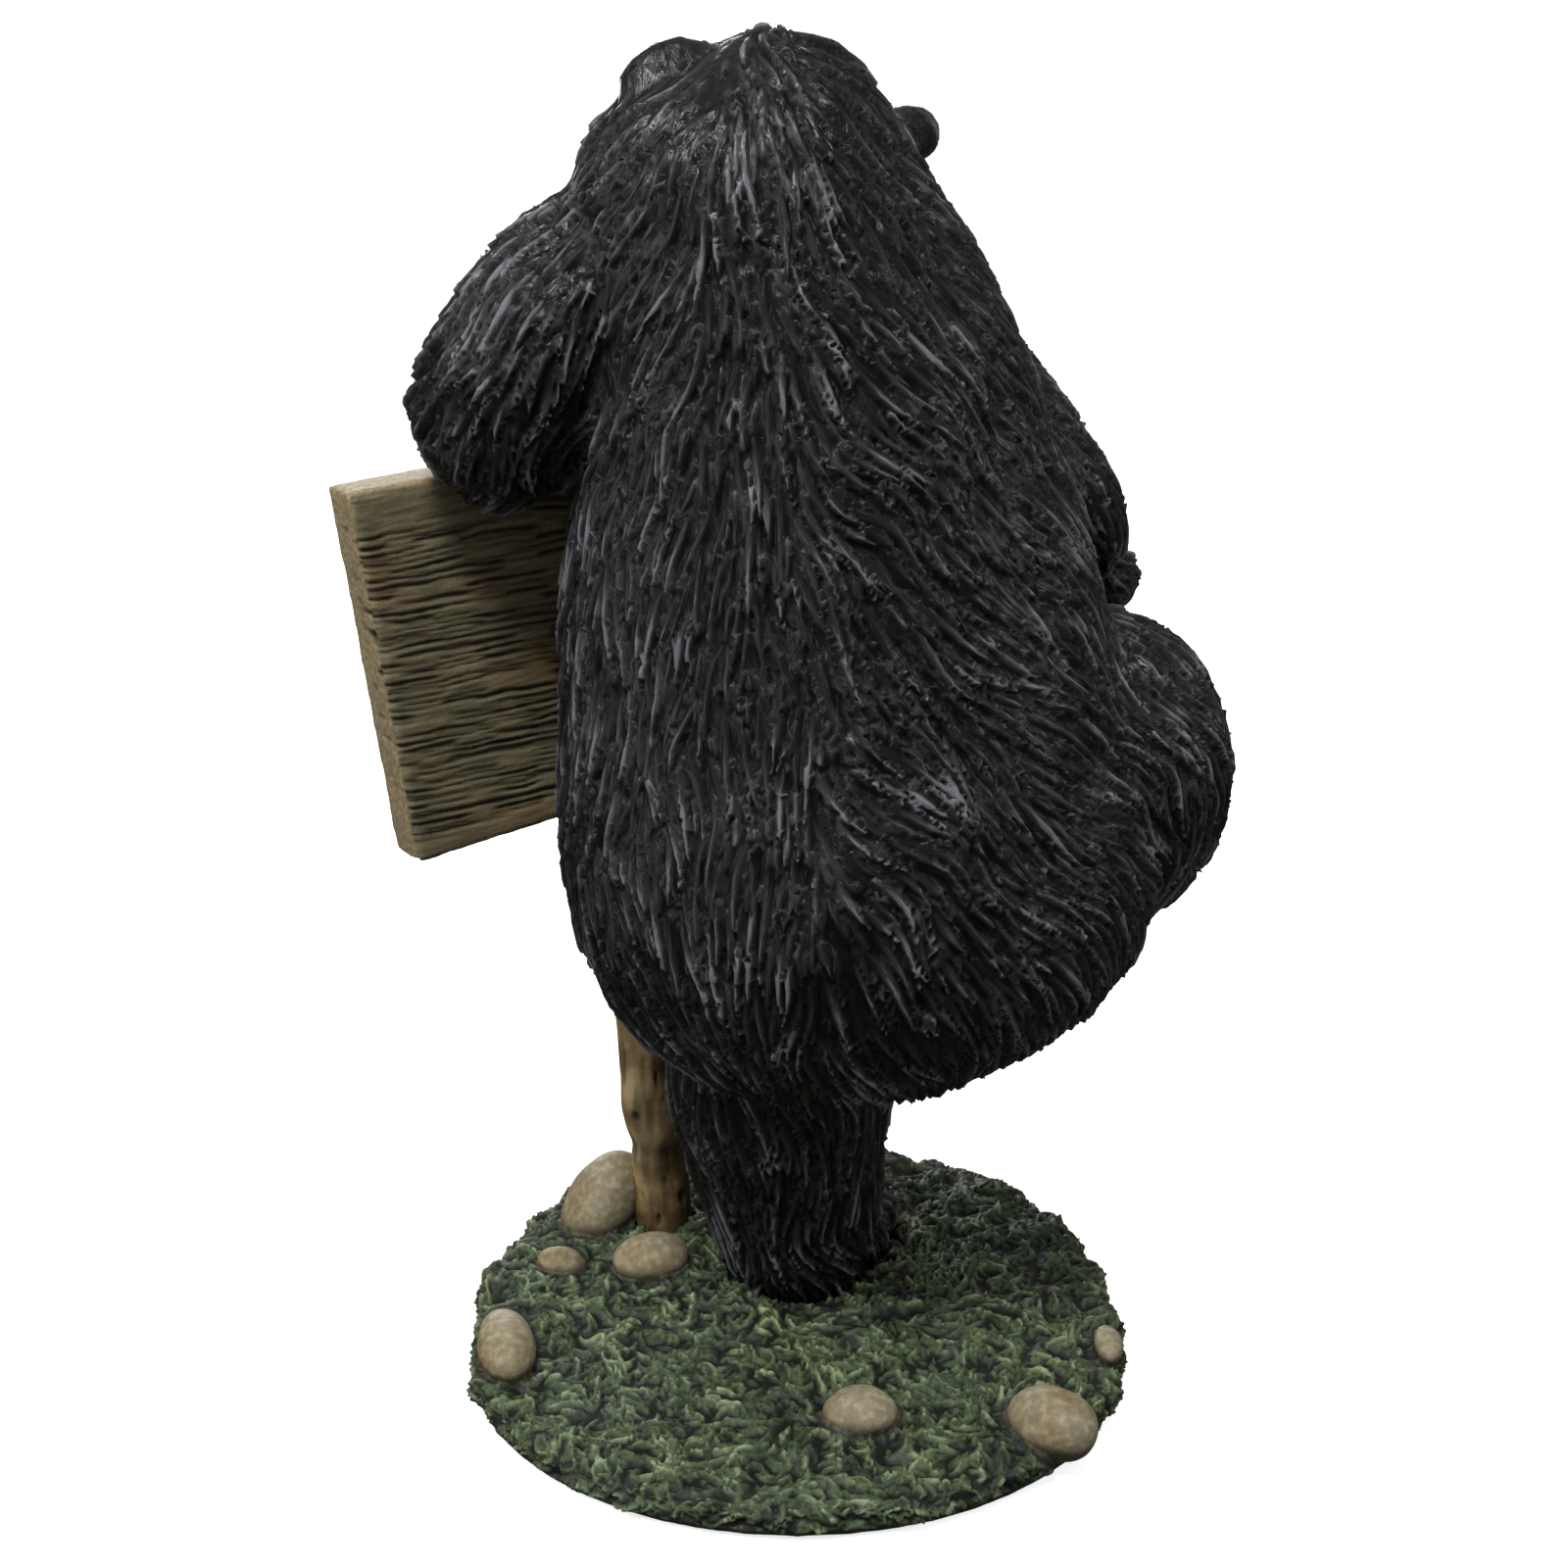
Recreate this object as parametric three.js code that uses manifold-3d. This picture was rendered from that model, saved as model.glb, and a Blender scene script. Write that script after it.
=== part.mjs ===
// A garden statue of a black bear: it stands on one leg on a round mound of grass and leans an
// arm on a wooden notice board. Millimetres, +Z up, -Y is the way the bear faces.
// The origin is the middle of the flat underside of the mound.
import * as THREE from 'three';
import { mergeVertices } from 'three/addons/utils/BufferGeometryUtils.js';
import Module from 'manifold-3d';

const wasm = await Module();
wasm.setup();

// ---- driving dimensions ----
const STATUE_HEIGHT = 398;
const BASE_RADIUS = 101;
const RIM_LOW = 9; // thickness of the mound's rim behind the bear
const RIM_HIGH = 26; // and in front of it
const MOUND_CROWN = 6; // how far the middle swells above the rim's own slope
const RUMP_UNDERSIDE = 94;
const CROWN_BLUNTNESS = 110; // higher is flatter at the very top of the head
const CASTING_GAP = 0.4; // glue line between the castings
const HEAD_TURN = 22; // degrees about Z, to the bear's left
const HEAD_ROLL = -8; // right ear lower
const BOARD_TURN = 30; // degrees about Z
const BOARD_LEAN = 7; // degrees, top outwards
const BOARD_WIDTH = 124;
const BOARD_HEIGHT = 112;
const BOARD_THICKNESS = 19;
const BOARD_WEAR = 1.5; // rounding of the board's edges
const POST_RADIUS = 9.3;

const DEG = Math.PI / 180;
const v = (x, y, z) => new THREE.Vector3(x, y, z);
const smooth = (a, b, t) => THREE.MathUtils.smoothstep(t, a, b);

// ---- materials ----
const paint = (color, roughness) => new THREE.MeshStandardMaterial({ color, roughness, metalness: 0 });
const furPaint = paint(0x1c1c1f, 0.5);
const boardPaint = paint(0x7a6643, 0.75);
const grassPaint = paint(0x3b4a35, 0.8);

// ---- solids and meshes ----
function toSolid(geometry) {
  const bare = geometry.index ? geometry.toNonIndexed() : geometry.clone();
  bare.deleteAttribute('normal');
  bare.deleteAttribute('uv');
  const merged = mergeVertices(bare, 1e-4);
  const vertProperties = new Float32Array(merged.attributes.position.array);
  const triVerts = new Uint32Array(merged.index.array);
  return new wasm.Manifold(new wasm.Mesh({ numProp: 3, vertProperties, triVerts }));
}

function toMesh(name, solid, material) {
  const data = solid.getMesh();
  const geometry = new THREE.BufferGeometry();
  const points = new Float32Array(data.vertProperties);
  geometry.setAttribute('position', new THREE.BufferAttribute(points, 3));
  geometry.setIndex(new THREE.BufferAttribute(new Uint32Array(data.triVerts), 1));
  geometry.computeVertexNormals();
  const mesh = new THREE.Mesh(geometry, material);
  mesh.name = name;
  return mesh;
}

const join = (solids) => solids.reduce((whole, next) => whole.add(next));

// Moves every corner of a geometry by a function of its place.
function reshape(geometry, move) {
  const place = geometry.attributes.position;
  const corner = new THREE.Vector3();
  for (let i = 0; i < place.count; i += 1) {
    corner.fromBufferAttribute(place, i);
    move(corner);
    place.setXYZ(i, corner.x, corner.y, corner.z);
  }
  return geometry;
}

// A value that eases through the named stations, t running from 0 to 1.
function eased(values, t) {
  const points = values.map((value, i) => v(i / (values.length - 1), value, 0));
  return new THREE.SplineCurve(points.map((p) => new THREE.Vector2(p.x, p.y))).getPoint(t).y;
}

// A fleshy form: a sphere drawn out along a route of stations, with a half width and a half
// depth at each. bluntness below 1 fills the ends out; side is the direction of the width.
function flesh({
  route,
  wide,
  deep,
  side = v(1, 0, 0),
  round = 20,
  along = 14,
  bluntness = 0.6,
  extra = 0,
}) {
  const path = new THREE.CatmullRomCurve3(route);
  const sphere = new THREE.SphereGeometry(1, round, along);
  return toSolid(
    reshape(sphere, (p) => {
      const t = (1 - p.y) / 2;
      const angle = Math.atan2(p.z, p.x);
      const ring = Math.max(0, 1 - p.y * p.y) ** (bluntness / 2);
      const centre = path.getPoint(t);
      const forward = path.getTangent(t);
      const across = side.clone().addScaledVector(forward, -side.dot(forward)).normalize();
      const third = forward.clone().cross(across);
      p.copy(centre);
      p.addScaledVector(forward, Math.sign(t - 0.5) * extra);
      p.addScaledVector(across, ring * (eased(wide, t) + extra) * Math.cos(angle));
      p.addScaledVector(third, ring * (eased(deep, t) + extra) * Math.sin(angle));
    }),
  );
}

// ---- the bear ----
// Levels of the trunk from the crown of the head down to the rump: height, middle, half width
// and half depth. The trunk leans to the bear's left at the top and bellies out below.
const TRUNK = [
  { z: STATUE_HEIGHT, x: 4, y: -10, wide: 10, deep: 10 },
  { z: 391, x: 6, y: -9, wide: 20, deep: 20 },
  { z: 380, x: 12, y: -7, wide: 35, deep: 32 },
  { z: 364, x: 14, y: -5, wide: 46.5, deep: 39 },
  { z: 344, x: 8.5, y: -4, wide: 54.5, deep: 43 },
  { z: 326, x: 2.5, y: -4, wide: 59.5, deep: 47 },
  { z: 298, x: -3.5, y: -6, wide: 65.5, deep: 54 },
  { z: 252, x: -9, y: -8, wide: 76, deep: 63 },
  { z: 208, x: -14, y: -7, wide: 83, deep: 70 },
  { z: 168, x: -18, y: -4, wide: 88, deep: 75 },
  { z: 134, x: -18.5, y: -2, wide: 80.5, deep: 70 },
  { z: 108, x: -12, y: 0, wide: 56, deep: 53 },
  { z: RUMP_UNDERSIDE, x: -8, y: 0, wide: 20, deep: 20 },
];

// The level of the trunk at height z.
function trunkAt(z) {
  const t = trunkPlace(z);
  return {
    x: eased(TRUNK.map((level) => level.x), t),
    y: eased(TRUNK.map((level) => level.y), t),
    wide: eased(TRUNK.map((level) => level.wide), t),
    deep: eased(TRUNK.map((level) => level.deep), t),
  };
}

function trunkPlace(z) {
  const last = TRUNK.length - 1;
  let i = 0;
  while (i < last - 1 && z < TRUNK[i + 1].z) i += 1;
  return (i + (TRUNK[i].z - z) / (TRUNK[i].z - TRUNK[i + 1].z)) / last;
}

function trunk() {
  const sphere = new THREE.SphereGeometry(1, 38, 24);
  const middle = (STATUE_HEIGHT + RUMP_UNDERSIDE) / 2;
  const half = (STATUE_HEIGHT - RUMP_UNDERSIDE) / 2;
  return toSolid(
    reshape(sphere, (p) => {
      const z = middle + half * p.y;
      const level = trunkAt(z);
      const angle = Math.atan2(p.z, p.x);
      const pole = 1 - Math.abs(p.y) ** CROWN_BLUNTNESS;
      const x = level.x + pole * level.wide * Math.cos(angle);
      const y = level.y - pole * level.deep * Math.sin(angle);
      p.set(x, y, z);
    }),
  );
}

// The head's own frame: it looks along -Y before it is turned and rolled.
const HEAD_CENTRE = v(8, -22, 352);
const headPose = new THREE.Matrix4().makeRotationFromEuler(
  new THREE.Euler(0, HEAD_ROLL * DEG, HEAD_TURN * DEG, 'ZYX'),
);
const onHead = (x, y, z) => v(x, y, z).applyMatrix4(headPose).add(HEAD_CENTRE);
const headSide = v(1, 0, 0).transformDirection(headPose);

function head() {
  const skull = flesh({
    route: [onHead(0, 4, 34), onHead(0, -2, 18), onHead(0, -6, 0), onHead(0, -8, -34)],
    wide: [23, 37, 44, 36],
    deep: [23, 34, 39, 34],
    side: headSide,
    round: 20,
    along: 12,
  });
  const muzzle = flesh({
    route: [onHead(0, -14, 0), onHead(0, -38, -7), onHead(0, -56, -11), onHead(0, -67, -13)],
    wide: [30, 23, 18, 13],
    deep: [26, 19, 15, 11],
    side: headSide,
    round: 16,
    along: 10,
  });
  const nose = flesh({
    route: [onHead(-7, -66, -6), onHead(0, -69, -6), onHead(7, -66, -6)],
    wide: [5, 6, 5],
    deep: [4, 5, 4],
    side: v(0, 0, 1),
    round: 10,
    along: 8,
  });
  return join([skull, muzzle, nose, ...EARS.map(ear)]);
}

// An ear is a thick rounded cup, hollowed in front: its root and tip, and half its breadth. The
// left one stands up close to the skull, and the right one is laid out to the side.
const EARS = [
  { root: v(32, -4, 366), tip: v(32, -2, 395.5), breadth: 18 },
  { root: v(-18, -22, 363.5), tip: v(-40, -26, 371.5), breadth: 9.5 },
];

function ear({ root, tip, breadth }) {
  const along = tip.clone().sub(root).normalize();
  const facing = v(0, -1, 0).transformDirection(headPose);
  const across = along.clone().cross(facing).normalize();
  const middle = root.clone().lerp(tip, 0.55);
  const shell = flesh({
    route: [root, middle, tip],
    wide: [breadth * 0.95, breadth, breadth * 0.8],
    deep: [10, 9, 6],
    side: across,
    round: 14,
    along: 9,
    bluntness: 0.8,
  });
  const front = (p) => p.clone().addScaledVector(facing, 9);
  const hollow = flesh({
    route: [front(root.clone().lerp(tip, 0.4)), front(middle), front(root.clone().lerp(tip, 0.92))],
    wide: [breadth * 0.45, breadth * 0.6, breadth * 0.45],
    deep: [5, 6, 5],
    side: across,
    round: 10,
    along: 6,
    bluntness: 1,
  });
  return shell.subtract(hollow);
}

function leftArm() {
  const arm = flesh({
    route: [v(38, -4, 351), v(64, -1, 321.5), v(85, -2, 291), v(81, -34, 284), v(70, -66, 284)],
    wide: [32, 30, 26, 20, 17],
    deep: [26, 28, 24, 18, 15],
    side: v(0.6, -0.2, 0.6),
    round: 16,
    along: 16,
  });
  const paw = flesh({
    route: [v(70, -66, 284), v(66, -82, 278), v(63, -86, 262)],
    wide: [17, 18, 12],
    deep: [15, 13, 9],
    round: 16,
    along: 12,
  });
  return arm.add(paw);
}

function rightArm() {
  const arm = flesh({
    route: [v(-25, -14, 326), v(-48, -26, 300), v(-78, -30, 263), v(-90, -54, 241)],
    wide: [24, 24, 20, 17],
    deep: [22, 21, 18, 15],
    side: v(0, 1, 0),
    round: 14,
    along: 12,
  });
  const paw = flesh({
    route: [v(-86, -52, 239), v(-89, -68, 231), v(-91, -80, 215)],
    wide: [18, 18, 11],
    deep: [15, 13, 9],
    round: 16,
    along: 10,
  });
  return arm.add(paw);
}

function standingLeg(extra = 0) {
  const leg = flesh({
    route: [v(6, -14, 135), v(4.5, -16, 95), v(3, -18, 62), v(-3, -20, 12)],
    wide: [40, 37, 32, 27],
    deep: [38, 32, 28, 26],
    round: 18,
    along: 10,
    bluntness: 0.3,
    extra,
  });
  const foot = flesh({
    route: [v(-2, -8, 26), v(-6, -38, 30), v(-11, -70, 30)],
    wide: [24, 28, 24],
    deep: [18, 17, 12],
    round: 16,
    along: 9,
    bluntness: 0.5,
    extra,
  });
  return leg.add(foot);
}

function raisedLeg() {
  const thigh = flesh({
    route: [v(-50, -2, 168), v(-80, -16, 181), v(-92, -38, 189), v(-96, -62, 188)],
    wide: [40, 50.5, 47, 32],
    deep: [40, 46, 42, 30],
    side: v(0, 0, 1),
    round: 20,
    along: 12,
  });
  const shin = flesh({
    route: [v(-96, -62, 190), v(-76, -72, 150), v(-46, -76, 108), v(-20, -76, 84)],
    wide: [30, 26, 20, 18],
    deep: [28, 24, 19, 17],
    side: v(0, 1, 0),
    round: 18,
    along: 14,
  });
  const foot = flesh({
    route: [v(-30, -72, 90), v(-8, -78, 76), v(16, -82, 66)],
    wide: [17, 20, 15],
    deep: [16, 15, 11],
    side: v(0, 1, 0),
    round: 18,
    along: 10,
  });
  return join([thigh, shin, foot]);
}

// ---- the notice board: a thick hewn plank on a knotty post ----
const POST_FOOT = v(41, -44, 8);
const BOARD_FOOT = v(55, -49, 168); // middle of the board's lower edge

function sign(extra = 0) {
  const half = BOARD_WIDTH / 2;
  const outline = new THREE.Shape();
  outline.moveTo(-half, 5);
  outline.lineTo(half + 8, 1);
  outline.lineTo(half + 10, BOARD_HEIGHT);
  outline.lineTo(-half + 2, BOARD_HEIGHT - 5);
  outline.closePath();
  const plank = new THREE.ExtrudeGeometry(outline, {
    depth: BOARD_THICKNESS - 2 * BOARD_WEAR,
    bevelThickness: BOARD_WEAR + extra,
    bevelSize: BOARD_WEAR + extra,
    bevelSegments: 1,
  });
  plank.translate(0, 0, BOARD_WEAR - BOARD_THICKNESS / 2);
  plank.rotateX(90 * DEG);
  plank.rotateY(BOARD_LEAN * DEG);
  plank.rotateZ(BOARD_TURN * DEG);
  plank.translate(BOARD_FOOT.x, BOARD_FOOT.y, BOARD_FOOT.z);
  const postHead = BOARD_FOOT.clone().setZ(BOARD_FOOT.z + 6);
  const post = flesh({
    route: [POST_FOOT, POST_FOOT.clone().lerp(BOARD_FOOT, 0.5), postHead],
    wide: [POST_RADIUS + 0.5, POST_RADIUS, POST_RADIUS],
    deep: [POST_RADIUS, POST_RADIUS - 1, POST_RADIUS - 1],
    round: 14,
    along: 16,
    bluntness: 0.15,
    extra,
  });
  return toSolid(plank).add(post);
}

// ---- the mound of grass with its stones ----
const rimTop = (y) => RIM_LOW + (RIM_HIGH - RIM_LOW) * smooth(-50, 90, -y);

function moundTop(x, y) {
  const r = Math.hypot(x, y) / BASE_RADIUS;
  const tufts = 0.8 * Math.sin(x * 0.31 + y * 0.12) * Math.cos(y * 0.29 - x * 0.07);
  return rimTop(y) + MOUND_CROWN * (1 - r * r) + tufts * (1 - r ** 8);
}

const STONES = [
  { x: 63, y: -47, size: [11.5, 12, 18], turn: 20, tilt: -36 },
  { x: 46, y: -18, size: [12, 9, 8], turn: 5, tilt: 10 },
  { x: 74, y: -20, size: [8, 6, 4.5], turn: 0, tilt: -12 },
  { x: 88, y: 20, size: [9, 17, 9], turn: 12, tilt: 25 },
  { x: -18, y: 58, size: [11, 9, 7], turn: 0, tilt: 0 },
  { x: -74, y: 60, size: [12, 15, 10], turn: 38, tilt: -20 },
  { x: -95, y: 17, size: [4.5, 9, 4.5], turn: 0, tilt: -20 },
];

function stone({ x, y, size, turn, tilt }) {
  const lump = new THREE.SphereGeometry(1, 10, 7);
  lump.scale(size[0], size[2], size[1]);
  lump.rotateX(90 * DEG);
  lump.rotateY(tilt * DEG);
  lump.rotateZ(turn * DEG);
  lump.translate(x, y, moundTop(x, y) + size[2] * 0.25);
  return toSolid(lump);
}

function grassBase() {
  const profile = [new THREE.Vector2(0, 0)];
  const rings = 7;
  profile.push(new THREE.Vector2(BASE_RADIUS - 2, 0));
  profile.push(new THREE.Vector2(BASE_RADIUS, 0.25));
  profile.push(new THREE.Vector2(BASE_RADIUS, 0.8));
  for (let ring = rings; ring >= 0; ring -= 1) {
    profile.push(new THREE.Vector2((BASE_RADIUS - 2.5) * (ring / rings), 1));
  }
  const disc = new THREE.LatheGeometry(profile, 48);
  disc.rotateX(90 * DEG);
  const mound = toSolid(reshape(disc, (p) => p.setZ(p.z * moundTop(p.x, p.y))));
  return join([mound, ...STONES.map(stone)]);
}

// ---- the castings, each kept clear of the next by the glue line ----
const wholeBear = join([trunk(), head(), leftArm(), rightArm(), standingLeg(), raisedLeg()]);
const bearSolid = wholeBear.subtract(sign(CASTING_GAP));
const baseSolid = grassBase().subtract(standingLeg(CASTING_GAP)).subtract(sign(CASTING_GAP));

const statue = new THREE.Group();
statue.add(toMesh('bear', bearSolid, furPaint));
statue.add(toMesh('notice_board', sign(), boardPaint));
statue.add(toMesh('grass_base', baseSolid, grassPaint));

export default statue;
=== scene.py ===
# %% [markdown]
# # A cast resin bear with a notice board
# The real object is a garden statue: a black bear that stands on one leg on a round mound of
# grass and leans an arm on a wooden board. It is moulded in resin and painted, so fur, grain and
# grass are all relief in one hard skin. This lesson loads the CAD castings, gives each one its
# fine relief as real geometry, and then its paint.

# %% Load the castings
import math

import bpy
import numpy as np
from mathutils import Matrix, Vector
from mathutils.kdtree import KDTree


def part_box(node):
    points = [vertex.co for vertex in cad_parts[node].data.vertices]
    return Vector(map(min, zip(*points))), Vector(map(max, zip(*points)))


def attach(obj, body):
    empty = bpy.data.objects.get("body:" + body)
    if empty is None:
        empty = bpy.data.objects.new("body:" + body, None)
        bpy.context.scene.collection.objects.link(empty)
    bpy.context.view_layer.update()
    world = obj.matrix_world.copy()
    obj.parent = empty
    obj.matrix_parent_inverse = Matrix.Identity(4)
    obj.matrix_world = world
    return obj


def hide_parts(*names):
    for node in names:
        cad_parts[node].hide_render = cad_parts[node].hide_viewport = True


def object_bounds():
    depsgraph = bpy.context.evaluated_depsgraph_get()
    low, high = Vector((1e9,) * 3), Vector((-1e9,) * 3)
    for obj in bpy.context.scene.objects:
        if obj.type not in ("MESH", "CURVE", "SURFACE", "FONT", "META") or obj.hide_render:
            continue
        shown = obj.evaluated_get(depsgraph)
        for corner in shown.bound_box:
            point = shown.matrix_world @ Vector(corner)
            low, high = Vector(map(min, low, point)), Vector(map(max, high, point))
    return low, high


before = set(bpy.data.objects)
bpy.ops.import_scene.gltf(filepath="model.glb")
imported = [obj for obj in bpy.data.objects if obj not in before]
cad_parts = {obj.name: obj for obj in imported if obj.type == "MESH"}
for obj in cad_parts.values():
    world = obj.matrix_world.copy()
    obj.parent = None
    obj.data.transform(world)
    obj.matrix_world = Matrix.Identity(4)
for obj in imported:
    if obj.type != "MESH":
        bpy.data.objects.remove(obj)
cad_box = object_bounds()
MM = 0.001
LOW, HIGH = (np.array(corner) for corner in cad_box)
STATUE_HEIGHT = HIGH[2] - LOW[2]
BASE_RADIUS = (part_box("grass_base")[1].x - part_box("grass_base")[0].x) / 2
print("statue", round(STATUE_HEIGHT, 3), "m high, base radius", round(BASE_RADIUS, 3))

# %% [markdown]
# ## The camera
# The view is from straight behind the bear, a little above its shoulders, with a short telephoto
# lens as a product is usually shown. A camera could be aimed with a Track To constraint, but an eye
# point and an angle down are plainer, and each can be changed without moving the other.

# %% Set up the camera
EYE = Vector((3.75, 707.0, 405.0)) * MM
LOOK_DOWN = math.radians(17.19)
LENS = 58.5
camera_data = bpy.data.cameras.new("camera")
camera_data.lens = LENS
camera_data.sensor_width = 36.0
camera = bpy.data.objects.new("camera", camera_data)
bpy.context.collection.objects.link(camera)
camera.location = EYE
camera.rotation_euler = (math.pi / 2 - LOOK_DOWN, 0.0, math.pi)
bpy.context.scene.camera = camera
print("camera looks down", round(math.degrees(LOOK_DOWN), 1), "degrees")

# %% [markdown]
# ## Light and floor
# A product on plain white is lit so that the ground burns out to white while the object keeps its
# darks. Black paint mirrors whatever is around it, so the room that lights the bear is dim below
# and brighter overhead, and only the camera sees it as plain white. The lamps do the modelling: a
# key from high behind, which rakes down over the fur, a rim on either side for glints, a soft fill
# for the front and a weak low one that opens the shade round the leg. The floor glows a little so
# that it stays white, and doesn't throw that glow back at the bear.

# %% Make the studio
def deselect():
    bpy.ops.object.select_all(action="DESELECT")


def only(obj):
    deselect()
    obj.select_set(True)
    bpy.context.view_layer.objects.active = obj


def linear(hex_colour, alpha=1.0):
    """An sRGB hex value as the linear colour that shaders want."""
    parts = [int(hex_colour[i : i + 2], 16) / 255 for i in (0, 2, 4)]
    return (*[c / 12.92 if c <= 0.04045 else ((c + 0.055) / 1.055) ** 2.4 for c in parts], alpha)


def node(tree, kind, settings=None, **links):
    """Adds a node. settings sets properties, sockets and the stops of a colour ramp; links join
    sockets, by name or as _number, to other outputs."""
    made = tree.nodes.new(kind)
    for key, value in (settings or {}).items():
        if key == "stops":
            elements = made.color_ramp.elements
            while len(elements) < len(value):
                elements.new(0.5)
            for element, (position, colour) in zip(elements, value):
                element.position = position
                element.color = linear(colour)
        elif isinstance(key, int) or key in made.inputs.keys():
            made.inputs[key].default_value = value
        else:
            setattr(made, key, value)
    for key, source in links.items():
        place = int(key[1:]) if key[0] == "_" else key.replace("_", " ")
        tree.links.new(source, made.inputs[place])
    return made


def new_material(name, **values):
    material = bpy.data.materials.new(name)
    material.use_nodes = True
    shader = material.node_tree.nodes["Principled BSDF"]
    for key, value in values.items():
        shader.inputs[key.replace("_", " ")].default_value = value
    return material, material.node_tree, shader


def area_light(name, place, target, size, power):
    lamp = bpy.data.lights.new(name, "AREA")
    lamp.energy = power
    lamp.size = size
    holder = bpy.data.objects.new(name, lamp)
    bpy.context.collection.objects.link(holder)
    holder.location = place
    holder.rotation_euler = (Vector(target) - Vector(place)).to_track_quat("-Z", "Y").to_euler()


FLOOR_SIZE = 12.0
FLOOR_DROP = 0.5 * MM
FLOOR_GLOW = 0.72
NEARLY_WHITE = (0.9, 0.9, 0.9, 1.0)
PURE_WHITE = (1.0, 1.0, 1.0, 1.0)
deselect()
bpy.ops.mesh.primitive_plane_add(size=FLOOR_SIZE, location=(0.0, 0.0, -FLOOR_DROP))
floor = bpy.context.object
floor.name = "studio_floor"
floor_paint, _, shader = new_material("matte_white_backdrop", Base_Color=NEARLY_WHITE, Roughness=0.9)
shader.inputs["Emission Color"].default_value = PURE_WHITE
shader.inputs["Emission Strength"].default_value = FLOOR_GLOW
floor.data.materials.append(floor_paint)
floor.visible_diffuse = False
floor.visible_glossy = False

world = bpy.data.worlds.new("white_studio")
world.use_nodes = True
sky = world.node_tree
heading = node(sky, "ShaderNodeTexCoord")
upward = node(sky, "ShaderNodeSeparateXYZ", None, Vector=heading.outputs["Generated"])
ROOM = {"From Min": -0.4, "From Max": 1.0, "To Min": 0.12, "To Max": 0.6}
room = node(sky, "ShaderNodeMapRange", ROOM, Value=upward.outputs["Z"])
ray = node(sky, "ShaderNodeLightPath")
WHITE_GROUND = 1.08
by_camera = ray.outputs["Is Camera Ray"]
seen = node(sky, "ShaderNodeMix", {3: WHITE_GROUND}, Factor=by_camera, _2=room.outputs[0])
sky.links.new(seen.outputs[0], sky.nodes["Background"].inputs["Strength"])
sky.nodes["Background"].inputs["Color"].default_value = PURE_WHITE
bpy.context.scene.world = world
bpy.context.scene.view_settings.view_transform = "Standard"
middle = (0.0, 0.0, STATUE_HEIGHT / 2)
low_down = (0.0, 0.0, STATUE_HEIGHT / 3)
area_light("key_overhead", (0.25, 0.7, 1.4), middle, size=0.3, power=20.0)
area_light("rim_right", (-1.1, 0.35, 0.6), middle, size=0.25, power=2.8)
area_light("rim_left", (1.1, 0.35, 0.8), middle, size=0.25, power=5.0)
area_light("fill_front", (0.35, -1.3, 0.5), middle, size=0.6, power=10.0)
area_light("fill_low", (0.8, 0.75, 0.12), low_down, size=0.4, power=2.2)
print(len(bpy.data.lights), "lamps, floor", FLOOR_SIZE, "m wide")

# %% [markdown]
# ## Skin for the bear
# The CAD casting has the pose but plain facets. A sculptor would block in the body in clay and
# smooth the joins of the limbs before combing in any fur. Here a copy of the casting is remeshed
# into even squares, relaxed so that the limbs run into the body, and subdivided once.

# %% Block in the body
SKIN_SQUARE = 1.9 * MM


def copy_of(name, new_name):
    """A merged copy of a CAD casting, ready to be shaped."""
    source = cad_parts[name]
    mesh = source.data.copy()
    mesh.name = new_name
    made = bpy.data.objects.new(new_name, mesh)
    bpy.context.collection.objects.link(made)
    mesh.materials.clear()
    only(made)
    bpy.ops.object.mode_set(mode="EDIT")
    bpy.ops.mesh.select_all(action="SELECT")
    bpy.ops.mesh.remove_doubles(threshold=1e-5)
    bpy.ops.object.mode_set(mode="OBJECT")
    return made


def apply_modifier(obj, kind, **settings):
    only(obj)
    modifier = obj.modifiers.new(kind.lower(), kind)
    for key, value in settings.items():
        setattr(modifier, key, value)
    bpy.ops.object.modifier_apply(modifier=modifier.name)


def places(obj):
    co = np.empty(len(obj.data.vertices) * 3, np.float32)
    obj.data.vertices.foreach_get("co", co)
    return co.reshape(-1, 3).astype(float)


def set_places(obj, co):
    obj.data.vertices.foreach_set("co", co.astype(np.float32).ravel())
    obj.data.update()


def normals(obj):
    n = np.empty(len(obj.data.vertices) * 3, np.float32)
    obj.data.vertex_normals.foreach_get("vector", n)
    return n.reshape(-1, 3).astype(float)


def fine_skin(obj, square, rounds):
    """Remeshes an object in even squares, relaxes them, and cuts each one into four."""
    apply_modifier(obj, "REMESH", mode="VOXEL", voxel_size=square, use_smooth_shade=True)
    apply_modifier(obj, "SMOOTH", factor=0.5, iterations=rounds)
    apply_modifier(obj, "SUBSURF", levels=1, render_levels=1)
    print(obj.name, len(obj.data.polygons), "squares")


bear = copy_of("bear", "bear_casting")
fine_skin(bear, SKIN_SQUARE, rounds=7)

# %% [markdown]
# ## Combing the fur
# Carved fur is a skin of long overlapping locks. Each lock starts at a root, follows the way the
# hair lies and tapers to a tip, and the groove between two locks is where the paint stays black.
# A field of directions says how the hair lies; roots are scattered evenly and every lock walks
# along the field over the skin. Where locks overlap, the one rooted higher up mostly lies on top,
# as roof tiles do, and a point of the skin takes its height from the lock on top of it.

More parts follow.
